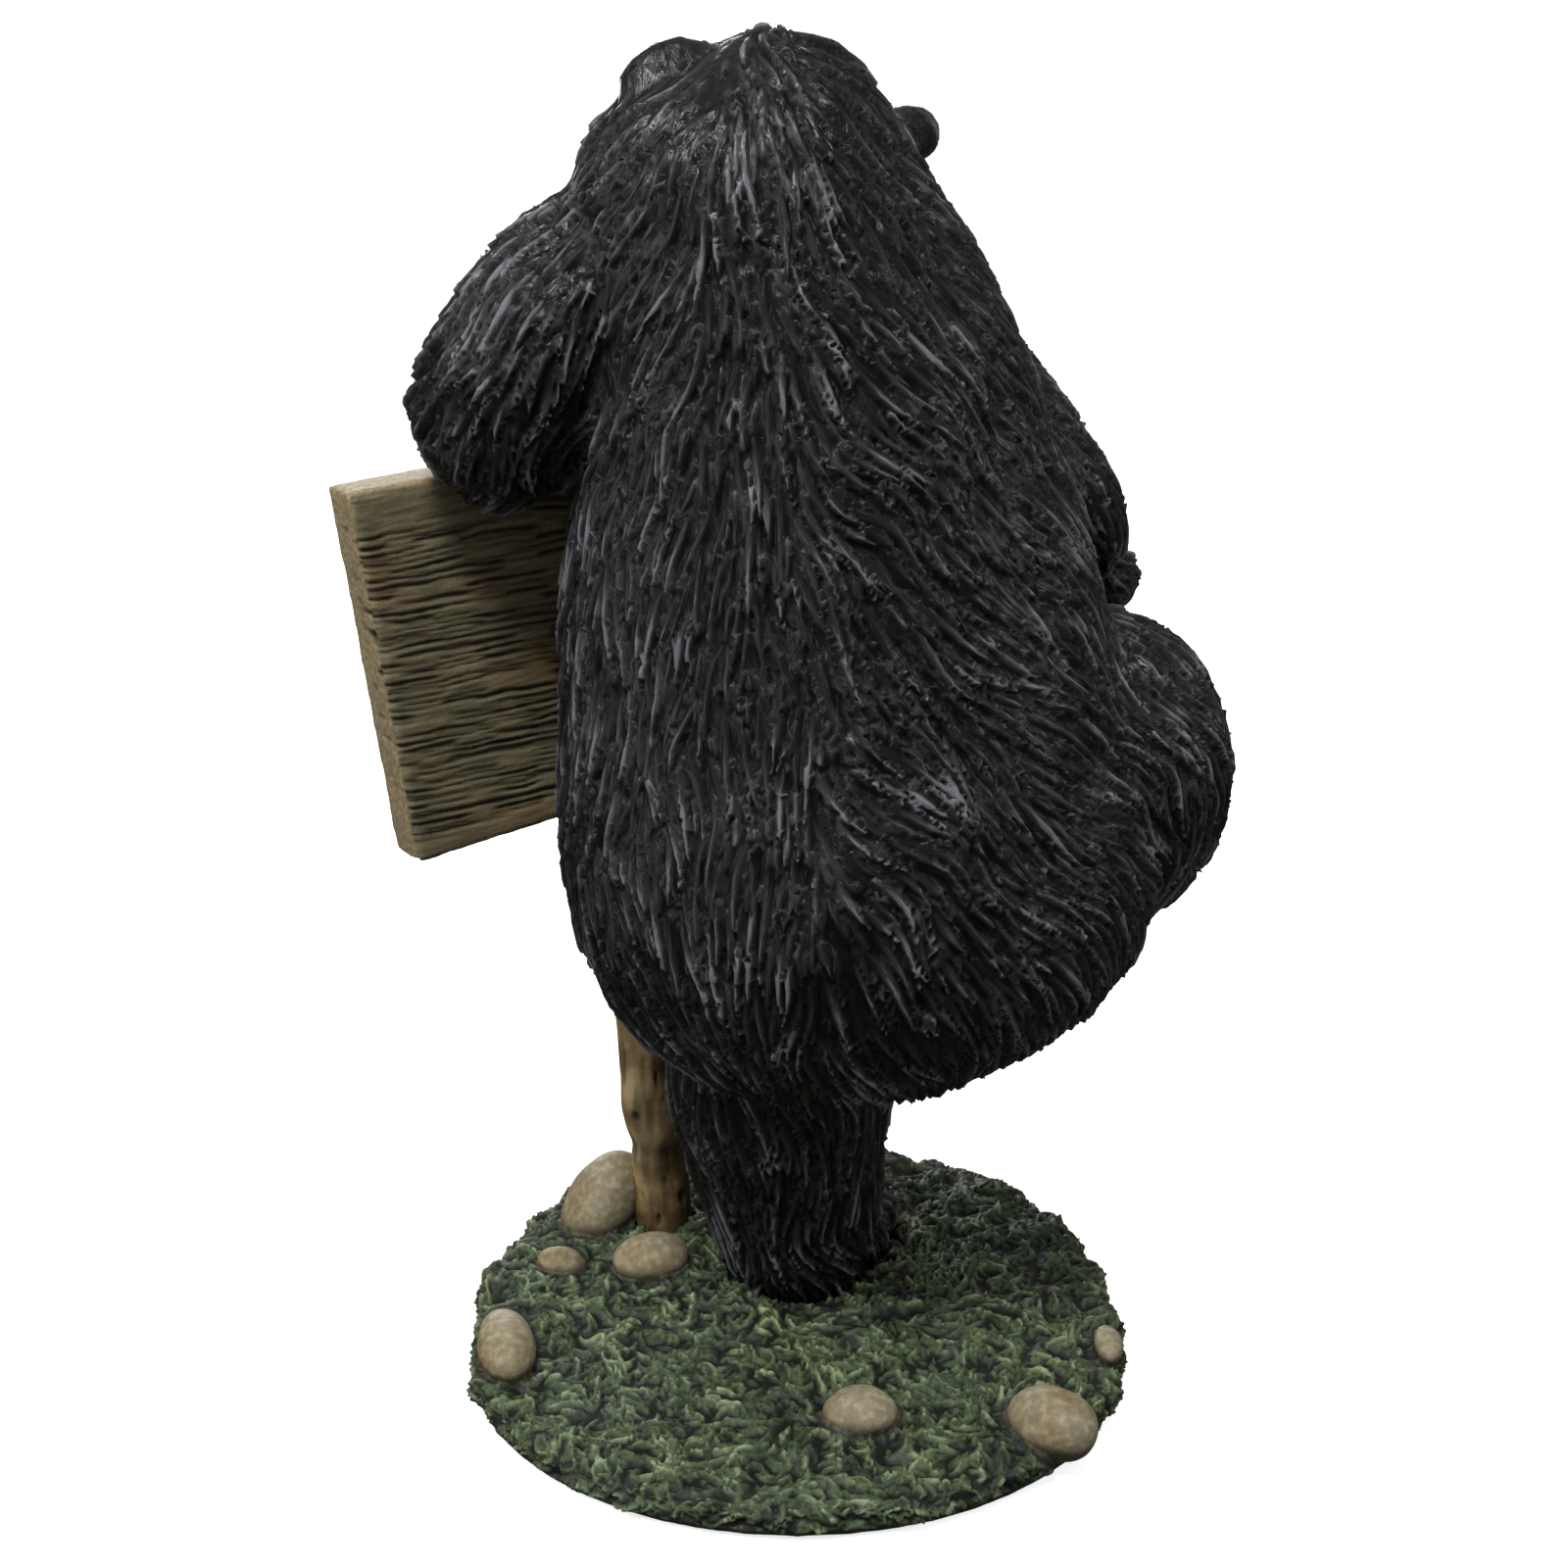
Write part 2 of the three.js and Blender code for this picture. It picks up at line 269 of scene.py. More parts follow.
# %% Say which way the hair lies
CROWN = np.array([14.0, -46.0, 384.0]) * MM
SPINE_HEIGHT = np.array([90.0, 150.0, 225.0, 320.0, 385.0]) * MM
SPINE_X = np.array([4.0, 4.0, 6.0, 14.0, 18.0]) * MM
TRUNK_X = np.array([-12.0, -18.0, -12.0, 2.0, 12.0]) * MM
SWEEP_HEIGHT = np.array([100.0, 125.0, 155.0, 190.0, 230.0, 280.0, 330.0, 380.0]) * MM
SWEEP_RIGHT = np.radians([8.0, 22.0, 38.0, 46.0, 44.0, 38.0, 32.0, 40.0])
SWEEP_LEFT = np.radians([-25.0, -18.0, -8.0, 0.0, 8.0, 18.0, 30.0, 40.0])
TRUNK_Y = -5.0 * MM
SPINE_REACH = 28.0 * MM
CROWN_REACH = 38.0 * MM
TRUNK_SHARE = 0.25
LIMB_SHARE = 2.0
LIMB_EDGE = 0.9
LIMBS = {
    "upper_left_arm": ([(38, -4, 351), (64, -1, 322), (85, -2, 291)], 30),
    "left_forearm": ([(85, -2, 291), (81, -34, 284), (70, -66, 284), (63, -86, 262)], 30),
    "upper_right_arm": ([(-25, -14, 326), (-48, -26, 300), (-78, -30, 263)], 24),
    "right_forearm": ([(-78, -30, 263), (-90, -54, 241), (-91, -80, 215)], 24),
    "knee": ([(-98, -20, 232), (-124, -26, 196), (-116, -20, 152), (-104, -10, 122)], 34),
    "shin": ([(-96, -62, 188), (-76, -72, 150), (-46, -76, 108), (-20, -76, 84), (16, -82, 66)], 24),
    "leg": ([(6, -14, 112), (4, -16, 95), (3, -18, 60), (-3, -20, 20)], 32),
    "foot": ([(-2, -8, 26), (-6, -38, 30), (-11, -70, 30)], 22),
}


def unit(v):
    return v / np.maximum(np.linalg.norm(v, axis=-1, keepdims=True), 1e-9)


def trunk_lie(p):
    """Down from the crown, and round the body away from the spine."""
    spine_x = np.interp(p[:, 2], SPINE_HEIGHT, SPINE_X)
    trunk_x = np.interp(p[:, 2], SPINE_HEIGHT, TRUNK_X)
    out = unit(np.stack([p[:, 0] - trunk_x, p[:, 1] - TRUNK_Y], axis=1))
    off = np.clip((p[:, 0] - spine_x) / SPINE_REACH, -1.0, 1.0)
    right = np.interp(p[:, 2], SWEEP_HEIGHT, SWEEP_RIGHT)
    left = np.interp(p[:, 2], SWEEP_HEIGHT, SWEEP_LEFT)
    # The sweep is full on the back and falls to a quarter on the belly.
    behind = np.clip(p[:, 1] / (60.0 * MM) + 0.8, 0.25, 1.0)
    angle = np.where(off < 0.0, right, left) * np.abs(off) * behind
    round_body = np.where(off < 0.0, -1.0, 1.0)[:, None] * np.stack([out[:, 1], -out[:, 0]], axis=1)
    lie = np.empty_like(p)
    lie[:, :2] = round_body * np.sin(angle)[:, None]
    lie[:, 2] = -np.cos(angle)
    away = p - CROWN
    near_crown = np.exp(-((np.linalg.norm(away, axis=1) / CROWN_REACH) ** 2))[:, None]
    return unit(lie * (1.0 - near_crown) + unit(away) * near_crown)


def hair_lie(p):
    """The direction of the hair at points p: the trunk's, taken over by a limb close to it."""
    lie = trunk_lie(p)
    total = lie * TRUNK_SHARE
    for route, reach in LIMBS.values():
        stops = np.array(route, float) * MM
        for a, b in zip(stops[:-1], stops[1:]):
            along = b - a
            t = np.clip(((p - a) @ along) / (along @ along), 0.0, 1.0)
            gap = np.linalg.norm(p - (a + t[:, None] * along), axis=1) / (reach * MM)
            weight = LIMB_SHARE * np.exp(-((gap / LIMB_EDGE) ** 6))
            total += unit(along[None])[0] * weight[:, None]
    return unit(total)


print("hair over the trunk and", len(LIMBS), "limbs")

# %% [markdown]
# ### Walking and laying the locks
# Hair could be grown with a particle system and turned into a mesh, but that gives loose strands
# and not a carved skin. Here each lock is a walk of short steps over the skin, and its rounded
# back is then pressed on to the points that it passes. All that is random comes from one seeded
# source, so that the statue is the same each time.

# %% Walk the locks over the skin
rng = np.random.default_rng(7)


def soft_noise(p, size, seed):
    """Smooth noise from 0 to 1 at points p, with lumps about size apart along each axis."""
    q = p / np.asarray(size)
    cell = np.floor(q).astype(np.int64)
    f = q - cell
    f = f * f * (3.0 - 2.0 * f)
    total = np.zeros(len(p))
    for corner in range(8):
        bit = np.array([corner >> k & 1 for k in range(3)])
        c = cell + bit
        mixed = c[:, 0] * 73856093 ^ c[:, 1] * 19349663 ^ c[:, 2] * 83492791 ^ seed * 2654435761
        mixed = ((mixed & 0xFFFFFFFF) ^ ((mixed & 0xFFFFFFFF) >> 13)) * 1274126177 & 0xFFFFFFFF
        mixed ^= mixed >> 16
        total += np.prod(np.where(bit, f, 1.0 - f), axis=1) * (mixed / 4294967295.0)
    return total


def smooth_step(low, high, x):
    t = np.clip((x - low) / (high - low), 0.0, 1.0)
    return t * t * (3.0 - 2.0 * t)


def tree_of(points):
    tree = KDTree(len(points))
    for i, p in enumerate(points):
        tree.insert(p, i)
    tree.balance()
    return tree


def scatter_roots(points, spacing):
    """Picks roots at random, then thins those that crowd each other."""
    order = rng.permutation(len(points))
    tree = tree_of(points)
    taken = np.zeros(len(points), bool)
    roots = []
    for i in order:
        if taken[i]:
            continue
        roots.append(i)
        for _, j, _ in tree.find_range(points[i], spacing):
            taken[j] = True
    return np.array(roots)


SWAY_SIZE = 17.0 * MM
MOST_TURN = 0.9


def walk_locks(points, norms, tree, roots, length, step, lie, waver, wander):
    """Follows the hair from every root. Returns for each lock its places, normals and tangents.
    waver turns each lock by itself, and wander sways neighbours together."""
    count = len(roots)
    steps = int(round(length.max() / step))
    at = points[roots].copy()
    normal = norms[roots].copy()
    bend = rng.normal(0.0, waver, count)
    turn = rng.normal(0.0, waver, count)
    rows = []
    for k in range(steps + 1):
        heading = lie(at)
        heading -= normal * np.sum(heading * normal, axis=1, keepdims=True)
        heading = unit(heading)
        side = np.cross(normal, heading)
        angle = turn + bend * (k / steps - 0.3) * 2.0
        angle += wander * (soft_noise(at, SWAY_SIZE, seed=9) - 0.5)
        heading = unit(heading + side * np.tan(np.clip(angle, -MOST_TURN, MOST_TURN))[:, None])
        rows.append((at.copy(), normal.copy(), heading.copy()))
        ahead = at + heading * step
        for i in range(count):
            _, j, _ = tree.find(ahead[i])
            n = norms[j]
            at[i] = ahead[i] - n * np.dot(ahead[i] - points[j], n)
            normal[i] = n
    return rows


ROOT_PART = 0.18
TIP_PART = 0.6
RISE_PART = 0.75
ROOT_HEIGHT = 0.35
ROUND_BACK = 2.2
HAIR_OFFSETS = 97


def splat(points, rows, length, width, step, looks):
    """The top lock over each point: its height from 0 to 1, and where on the lock the point is.
    looks holds for each lock its rank, lift and tone. The lock with the highest rank is on top,
    and its edges go down to the skin, so that a groove runs along both its sides."""
    tree = tree_of(points)
    owner, place, number = [], [], []
    widest = width.max()
    for k, (at, _, _) in enumerate(rows):
        active = np.nonzero(length >= k * step - step * 0.5)[0]
        for i in active:
            hits = tree.find_range(at[i], widest + step * 0.5)
            owner.append(np.full(len(hits), i))
            place.append(np.full(len(hits), k))
            number.append(np.fromiter((h[1] for h in hits), int, len(hits)))
    owner = np.concatenate(owner)
    place = np.concatenate(place)
    number = np.concatenate(number)
    at = np.stack([r[0] for r in rows])[place, owner]
    normal = np.stack([r[1] for r in rows])[place, owner]
    heading = np.stack([r[2] for r in rows])[place, owner]
    gap = points[number] - at
    along = np.sum(gap * heading, axis=1)
    across = np.sum(gap * np.cross(normal, heading), axis=1)
    t = (place * step + along) / length[owner]
    ok = (np.abs(along) <= step * 0.75) & (t >= 0.0) & (t <= 1.0)
    owner, number, across, t = owner[ok], number[ok], across[ok], t[ok]
    taper = np.clip(t / ROOT_PART, 0.0, 1.0) ** 0.6
    taper *= np.clip((1.0 - t) / TIP_PART, 0.0, 1.0) ** 0.85
    s = across / (width[owner] * np.maximum(taper, 0.05))
    ok = np.abs(s) < 1.0
    owner, number, across, t, s = owner[ok], number[ok], across[ok], t[ok], s[ok]
    risen = np.sin(np.clip(t / RISE_PART, 0.0, 1.0) * math.pi / 2)
    rise = ROOT_HEIGHT + (1.0 - ROOT_HEIGHT) * risen
    height = rise * (1.0 - np.abs(s) ** ROUND_BACK) * looks["lift"][owner]
    best = np.lexsort((looks["rank"][owner], number))
    owner, number, across, t, s, height = (a[best] for a in (owner, number, across, t, s, height))
    last = np.append(number[1:] != number[:-1], True)
    result = {key: np.zeros(len(points)) for key in ("height", "across", "along", "tone")}
    result["height"][number[last]] = height[last]
    result["across"][number[last]] = across[last] / MM
    result["along"][number[last]] = t[last] * length[owner[last]] / MM + owner[last] % HAIR_OFFSETS
    result["tone"][number[last]] = looks["tone"][owner[last]]
    return result


STEP = 2.5 * MM
ROOT_SPACING = 4.0 * MM
LOCK_LENGTHS = (16.0, 36.0)
LOCK_HALF_WIDTHS = (1.3, 2.4)
CLUMP_SIZE = 14.0 * MM
HIGH_ON_TOP = 18.0
skin = places(bear)
skin_normals = normals(bear)
skin_tree = tree_of(skin)
roots = scatter_roots(skin, ROOT_SPACING)
lock_length = rng.uniform(*LOCK_LENGTHS, len(roots)) * MM
lock_width = rng.uniform(*LOCK_HALF_WIDTHS, len(roots)) * MM
clumps = soft_noise(skin[roots], CLUMP_SIZE, seed=3)
lock_looks = {
    "rank": rng.uniform(0.0, 1.0, len(roots)) + HIGH_ON_TOP * skin[roots, 2],
    "lift": rng.uniform(0.6, 1.0, len(roots)),
    "tone": 0.5 * clumps + 0.5 * rng.uniform(0.0, 1.0, len(roots)),
}
rows = walk_locks(
    skin, skin_normals, skin_tree, roots, lock_length, STEP, hair_lie, waver=0.09, wander=1.0
)
fur = splat(skin, rows, lock_length, lock_width, STEP, lock_looks)
print(len(roots), "locks, share of skin covered", round(float((fur["height"] > 0).mean()), 3))

# %% [markdown]
# ## The head
# The head is turned and tipped, so the face is laid out along the head's own axes: x to its side,
# y from the nose back and z up. A bear's face is simple. The muzzle has short pale hair, the eyes
# sit in shallow sockets under a brow, the mouth is a groove, and the ears are cupped.

# %% Lay out the face
HEAD_CENTRE = np.array([8.0, -22.0, 352.0]) * MM
HEAD_TURN = math.radians(22.0)
HEAD_ROLL = math.radians(-8.0)


def rotation(angle, axis):
    return np.array(Matrix.Rotation(angle, 3, axis))


HEAD_AXES = rotation(HEAD_TURN, "Z") @ rotation(HEAD_ROLL, "Y")
face = (skin - HEAD_CENTRE) @ HEAD_AXES / MM
side, front, up = face[:, 0], face[:, 1], face[:, 2]
EYE_SIDE = 15.0
EYE_UP = 11.0
SOCKET_DEEP = 2.0
SOCKET_REACH = 6.5
BROW_UP = 8.0
BROW_HIGH = 1.6
BROW_REACH = 5.0
MOUTH_UP = -21.0
MOUTH_BOW = 0.02
MOUTH_DEEP = 1.5
LIP_LINE = 1.1


def spot_on_face(x, z):
    """The place on the front of the head at x and z, and the way out of the skin there."""
    near = np.nonzero((np.hypot(side - x, up - z) < 2.5) & (front < -15.0))[0]
    near = near[front[near] < front[near].min() + 6.0]
    return skin[near].mean(axis=0), unit(skin_normals[near].sum(axis=0))


def gap_to(place):
    return np.linalg.norm(skin - place, axis=1) / MM


muzzle = smooth_step(-37.0, -46.0, front) * smooth_step(36.0, 30.0, np.hypot(side, up + 8.0))
quiet = 0.75 * muzzle
press = np.zeros(len(skin))
eyes = [spot_on_face(EYE_SIDE * way, EYE_UP) for way in (-1.0, 1.0)]
for eye, _ in eyes:
    brow = eye + HEAD_AXES @ np.array([0.0, 0.0, BROW_UP]) * MM
    press += SOCKET_DEEP * np.exp(-((gap_to(eye) / SOCKET_REACH) ** 2))
    press -= BROW_HIGH * np.exp(-((gap_to(brow) / BROW_REACH) ** 2))
    quiet = np.maximum(quiet, 0.85 * np.exp(-((gap_to(eye) / 10.0) ** 4)))
lips = np.exp(-(((up - MOUTH_UP - MOUTH_BOW * side**2) / LIP_LINE) ** 2))
lips *= smooth_step(17.0, 13.0, np.abs(side))
lip_cleft = np.exp(-((side / 1.0) ** 2)) * smooth_step(MOUTH_UP - 1.0, MOUTH_UP, up)
lip_cleft *= smooth_step(-8.0, -10.0, up) * smooth_step(-55.0, -58.0, front)
mouth = np.maximum(lips * smooth_step(-38.0, -44.0, front), lip_cleft)
press += MOUTH_DEEP * mouth
EARS = [
    {"at": (32.0, -3.0, 383.0), "reach": 12.0, "deep": 3.5},
    {"at": (-36.0, -25.0, 370.0), "reach": 7.0, "deep": 2.2},
]
ear_cup = np.zeros(len(skin))
ahead = HEAD_AXES @ np.array([0.0, -1.0, 0.0])
for ear in EARS:
    reach = ear["reach"]
    gap = gap_to(np.array(ear["at"]) * MM)
    cup = smooth_step(reach, reach * 0.35, gap) * smooth_step(0.15, 0.5, skin_normals @ ahead)
    press += ear["deep"] * cup
    ear_cup = np.maximum(ear_cup, cup)
    quiet = np.maximum(quiet, 0.7 * smooth_step(reach * 2.1, reach * 1.3, gap))
print("eyes at", [np.round(eye / MM, 1).tolist() for eye, _ in eyes])

# %% [markdown]
# ### Raising the fur
# A displace modifier could push the skin out by a texture, but the locks are known point by point,
# so every point is moved straight along its own normal. The fur is damped on the muzzle and round
# the eyes, where hair is short, and low bulges under it keep the coat from lying too even. The mesh
# is then thinned where it is flattest, so that it stays light enough to use.

# %% Raise the fur
FUR_RELIEF = 3.6 * MM
FUR_MIDDLE = 0.6
BULGE_RELIEF = 2.4 * MM
BULGE_SIZE = (17.0 * MM, 17.0 * MM, 26.0 * MM)
bulges = soft_noise(skin, BULGE_SIZE, seed=5) - 0.5
raised = (fur["height"] - FUR_MIDDLE) * FUR_RELIEF + bulges * BULGE_RELIEF
raised = raised * (1.0 - quiet) - press * MM
set_places(bear, skin + skin_normals * raised[:, None])


def keep_numbers(obj, name, values):
    attribute = obj.data.attributes.new(name, "FLOAT", "POINT")
    attribute.data.foreach_set("value", values.astype(np.float32))


for key in ("height", "across", "along", "tone"):
    keep_numbers(bear, "lock_" + key, fur[key])
keep_numbers(bear, "short_hair", np.maximum(muzzle, 0.5 * ear_cup))
keep_numbers(bear, "mouth", mouth)


def thin_to(obj, most_triangles):
    """Collapses the least needed edges until the mesh is under a number of triangles."""
    triangles = sum(len(f.vertices) - 2 for f in obj.data.polygons)
    if triangles > most_triangles:
        apply_modifier(obj, "DECIMATE", ratio=most_triangles / triangles)
    print(obj.name, triangles, "triangles thinned to", len(obj.data.polygons))


MOST_TRIANGLES = 190000
thin_to(bear, MOST_TRIANGLES)

# %% [markdown]
# ## Paint for the fur
# The casting is sprayed black, and a nearly dry brush of grey is dragged over it, so the paint
# catches only the tops of the locks. The grooves stay black. The height kept on the mesh is the
# mask for that, and fine hairs are drawn across each lock from its own across and along places,
# which are in millimetres. Sprayed acrylic on resin has a satin shine, so the roughness is low.

# %% Mix the fur paint
HAIR_WIDTH = 0.526
HAIR_STRETCH = 0.09
PATCH_SIZE = 38.46 * MM
fur_paint, tree, shader = new_material("dry_brushed_black_resin", Roughness=0.32)
shader.inputs["Specular IOR Level"].default_value = 0.26
height = node(tree, "ShaderNodeAttribute", {"attribute_name": "lock_height"})
across = node(tree, "ShaderNodeAttribute", {"attribute_name": "lock_across"})
along = node(tree, "ShaderNodeAttribute", {"attribute_name": "lock_along"})
tone = node(tree, "ShaderNodeAttribute", {"attribute_name": "lock_tone"})
short_hair = node(tree, "ShaderNodeAttribute", {"attribute_name": "short_hair"})
in_mouth = node(tree, "ShaderNodeAttribute", {"attribute_name": "mouth"})
STRETCH = {"operation": "MULTIPLY", 1: HAIR_STRETCH}
along_slow = node(tree, "ShaderNodeMath", STRETCH, _0=along.outputs["Fac"])
lock_place = node(tree, "ShaderNodeCombineXYZ", None, X=across.outputs["Fac"], Y=along_slow.outputs[0])
FINE_HAIRS = {"Scale": 1.0 / HAIR_WIDTH, "Detail": 2.0, "Roughness": 0.6}
hairs = node(tree, "ShaderNodeTexNoise", FINE_HAIRS, Vector=lock_place.outputs[0])
place = node(tree, "ShaderNodeTexCoord")
# Broad lighter patches in the grey: partly a random change of paint tone, partly painted sheen on clumps of
# fur.
TONE_AND_SHEEN_PATCHES = {"Scale": 1.0 / PATCH_SIZE, "Detail": 3.0}
tone_and_sheen_patches = node(tree, "ShaderNodeTexNoise", TONE_AND_SHEEN_PATCHES, Vector=place.outputs["Object"])
brushed = node(tree, "ShaderNodeMath", {"operation": "MULTIPLY", 1: 0.7}, _0=height.outputs["Fac"])
for source, share in ((hairs, 0.3), (tone_and_sheen_patches, 0.34), (tone, 0.16)):
    MORE = {"operation": "MULTIPLY_ADD", 1: share}
    brushed = node(tree, "ShaderNodeMath", MORE, _0=source.outputs["Fac"], _2=brushed.outputs[0])
GREYS = [(0.56, "020202"), (0.71, "0c0c0d"), (0.88, "262629"), (1.0, "606064")]
coat = node(tree, "ShaderNodeValToRGB", {"stops": GREYS}, Fac=brushed.outputs[0])
TANS = [(0.38, "2b1d12"), (0.68, "5a4029"), (0.9, "8a6b49"), (1.0, "a98c66")]
pale = node(tree, "ShaderNodeValToRGB", {"stops": TANS}, Fac=brushed.outputs[0])
PAINT_OVER = {"data_type": "RGBA"}
furry = node(
    tree, "ShaderNodeMix", PAINT_OVER, _0=short_hair.outputs["Fac"], _6=coat.outputs[0], _7=pale.outputs[0]
)
LIP_BLACK = {**PAINT_OVER, 7: linear("050404")}
lined = node(tree, "ShaderNodeMix", LIP_BLACK, _0=in_mouth.outputs["Fac"], _6=furry.outputs[2])
tree.links.new(lined.outputs[2], shader.inputs["Base Color"])
bump = node(tree, "ShaderNodeBump", {"Strength": 0.5, "Distance": 0.0006}, Height=hairs.outputs["Fac"])
tree.links.new(bump.outputs["Normal"], shader.inputs["Normal"])
bear.data.materials.append(fur_paint)
only(bear)
bpy.ops.object.shade_smooth()
print("fur paint", len(tree.nodes), "nodes")

# %% [markdown]
# ## Eyes, nose and claws
# These are smooth beads and hooks in the same casting, picked out with gloss varnish. The eye and
# the nose each start as a ball that is pressed into shape. A claw is a short curve with a round
# bevel that thins to its tip, made once, turned into a mesh and copied to every toe.

# %% Varnish for the smooth parts
def varnish(name, dark, light, mottle_size, roughness):
    """Gloss paint with a faint mottle, as enamel that was brushed on by hand."""
    material, tree, shader = new_material(name, Roughness=roughness, Coat_Weight=0.6, Coat_Roughness=0.1)
    place = node(tree, "ShaderNodeTexCoord")
    grain = {"Scale": 1.0 / mottle_size, "Detail": 3.0}
    mottle = node(tree, "ShaderNodeTexNoise", grain, Vector=place.outputs["Object"])
    shades = {"stops": [(0.35, dark), (0.7, light)]}
    paint = node(tree, "ShaderNodeValToRGB", shades, Fac=mottle.outputs["Fac"])
    tree.links.new(paint.outputs["Color"], shader.inputs["Base Color"])
    bump = node(tree, "ShaderNodeBump", {"Strength": 0.15, "Distance": 0.0003}, Height=mottle.outputs["Fac"])
    tree.links.new(bump.outputs["Normal"], shader.inputs["Normal"])
    return material


eye_varnish = varnish("varnished_dark_brown_eye", "0c0604", "2e1609", 3.846 * MM, roughness=0.12)
nose_varnish = varnish("varnished_black_nose", "060606", "1b1a1b", 1.111 * MM, roughness=0.3)
claw_varnish = varnish("brushed_horn_black_claw", "0f0d0c", "3a332c", 2.0 * MM, roughness=0.35)


def set_down(obj, axes, place):
    """Moves an object's mesh to a place along three axes, and leaves the object at the origin."""
    turned = Matrix([list(row) for row in np.array(axes)]).to_4x4()
    obj.data.transform(Matrix.Translation(Vector(place)) @ turned)


# %% [markdown]
# ### Eyes and nose
# An eye shows as a dark bead, so a ball that is a little flattened is sunk into each socket. A
# bear's nose is broader at its top than at its foot and has two nostrils. They are pressed into a
# ball by moving its points, as a thumb would do in clay.

# %% Shape the eyes and the nose
EYE_RADIUS = 4.3 * MM
EYE_FLAT = 0.8
EYE_SUNK = 2.6 * MM
NOSE_SIZE = np.array([9.5, 8.0, 7.0]) * MM
NOSE_UP = -8.0
NOSE_SUNK = 6.0 * MM
NOSE_FLARE = 0.25
NOSTRIL_SIDE = 0.42
NOSTRIL_DEEP = 0.45
extras = []
for eye, out in eyes:
    deselect()
    bpy.ops.mesh.primitive_uv_sphere_add(segments=28, ring_count=18, radius=EYE_RADIUS)
    bpy.ops.object.shade_smooth()
    ball = bpy.context.object
    shape = places(ball)
    shape[:, 1] *= EYE_FLAT
    set_places(ball, shape)
    set_down(ball, HEAD_AXES, eye - out * EYE_SUNK)
    ball.data.materials.append(eye_varnish)
    extras.append(ball)
tip, out = spot_on_face(0.0, NOSE_UP)
deselect()
bpy.ops.mesh.primitive_uv_sphere_add(segments=48, ring_count=32, radius=1.0)
bpy.ops.object.shade_smooth()
nose = bpy.context.object
shape = places(nose)
shape[:, 0] *= 1.0 + NOSE_FLARE * shape[:, 2]
for way in (-1.0, 1.0):
    from_nostril = np.hypot((shape[:, 0] - NOSTRIL_SIDE * way) / 0.24, (shape[:, 2] + 0.15) / 0.2)
    shape[:, 1] += NOSTRIL_DEEP * np.exp(-(from_nostril**2)) * (shape[:, 1] < 0.0)
set_places(nose, shape * NOSE_SIZE)
set_down(nose, HEAD_AXES, tip - out * NOSE_SUNK)
nose.data.materials.append(nose_varnish)
extras.append(nose)
print("nose at", np.round(tip / MM, 1).tolist())

# %% [markdown]
# ### Claws
# A claw could be a cone, but a bear's claws hook downwards. A curve gives the hook with its two
# handles, and the radius at its end gives the point. Each claw is set on the skin nearest to a
# place in front of its toe, and sunk a little, so that none of them floats.

# %% Bend a claw and set one on every toe
CLAW_LONG = 10.0 * MM
CLAW_THICK = 2.7 * MM
CLAW_GAP = 6.0 * MM
CLAW_AHEAD = 12.0 * MM
CLAW_SUNK = 1.5 * MM
TOES = (-2.0, -1.0, 0.0, 1.0, 2.0)
PAWS = {
    "left_forepaw": {"tip": (63, -86, 262), "ahead": (-0.23, -0.65, -0.72), "curl": (0.0, 0.6, -0.8)},
    "right_forepaw": {"tip": (-91, -80, 215), "ahead": (-0.1, -0.6, -0.8), "curl": (0.0, 0.6, -0.8)},
    "left_foot": {"tip": (-11, -70, 34), "ahead": (-0.15, -1.0, 0.0), "curl": (0.0, -0.2, -1.0)},
    "right_foot": {"tip": (16, -82, 66), "ahead": (0.9, -0.15, -0.42), "curl": (-0.4, 0.0, -0.9)},
}
deselect()
bpy.ops.curve.primitive_bezier_curve_add()
hook = bpy.context.object
hook.data.dimensions = "3D"
hook.data.resolution_u = 6
hook.data.bevel_depth = CLAW_THICK
hook.data.bevel_resolution = 2
hook.data.use_fill_caps = True
start, end = hook.data.splines[0].bezier_points
start.co = (0.0, 0.0, 0.0)
start.handle_left = (-0.3 * CLAW_LONG, 0.0, 0.0)
start.handle_right = (0.45 * CLAW_LONG, 0.0, 0.0)
end.co = (CLAW_LONG * 0.9, 0.0, -CLAW_LONG * 0.45)
end.handle_left = (CLAW_LONG * 0.8, 0.0, -CLAW_LONG * 0.1)
end.handle_right = (CLAW_LONG, 0.0, -CLAW_LONG * 0.8)
end.radius = 0.15
only(hook)
bpy.ops.object.convert(target="MESH")
hook = bpy.context.object
hook.data.materials.append(claw_varnish)
bpy.ops.object.shade_smooth()
for paw in PAWS.values():
    forward = unit(np.array(paw["ahead"], float))
    down = np.array(paw["curl"], float)
    down = unit(down - forward * (down @ forward))
    across_toes = np.cross(forward, down)
    for toe in TOES:
        aim = np.array(paw["tip"], float) * MM + across_toes * toe * CLAW_GAP + forward * CLAW_AHEAD
        _, number, _ = skin_tree.find(aim)
        claw = hook.copy()
        claw.data = hook.data.copy()
        bpy.context.collection.objects.link(claw)
        axes = np.stack([forward, across_toes, -down], axis=1)
        set_down(claw, axes, skin[number] - forward * CLAW_SUNK)
        extras.append(claw)
bpy.data.objects.remove(hook)

only(bear)
for extra in extras:
    extra.select_set(True)
bpy.ops.object.join()
print("bear joined from", len(extras) + 1, "castings,", len(bear.data.polygons), "faces")

# %% [markdown]
# ### One casting for another
# The finished bear takes the place of its plain casting, which is hidden but still there for
# contact, and it rides on the one body that the statue has.

# %% Stand in for the CAD casting
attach(bear, "root")
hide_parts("bear")

# %% [markdown]
# ## The notice board
# On the real thing the board and its post are one resin casting that imitates a thick hewn plank
# on a rough pole. Boards like this are carved in wax with a wire brush, which leaves long shallow
# cracks that run with the grain. The casting is remeshed finely and the cracks are pressed in
# along the board's own axes: noise that is stretched many times longer than it is wide.

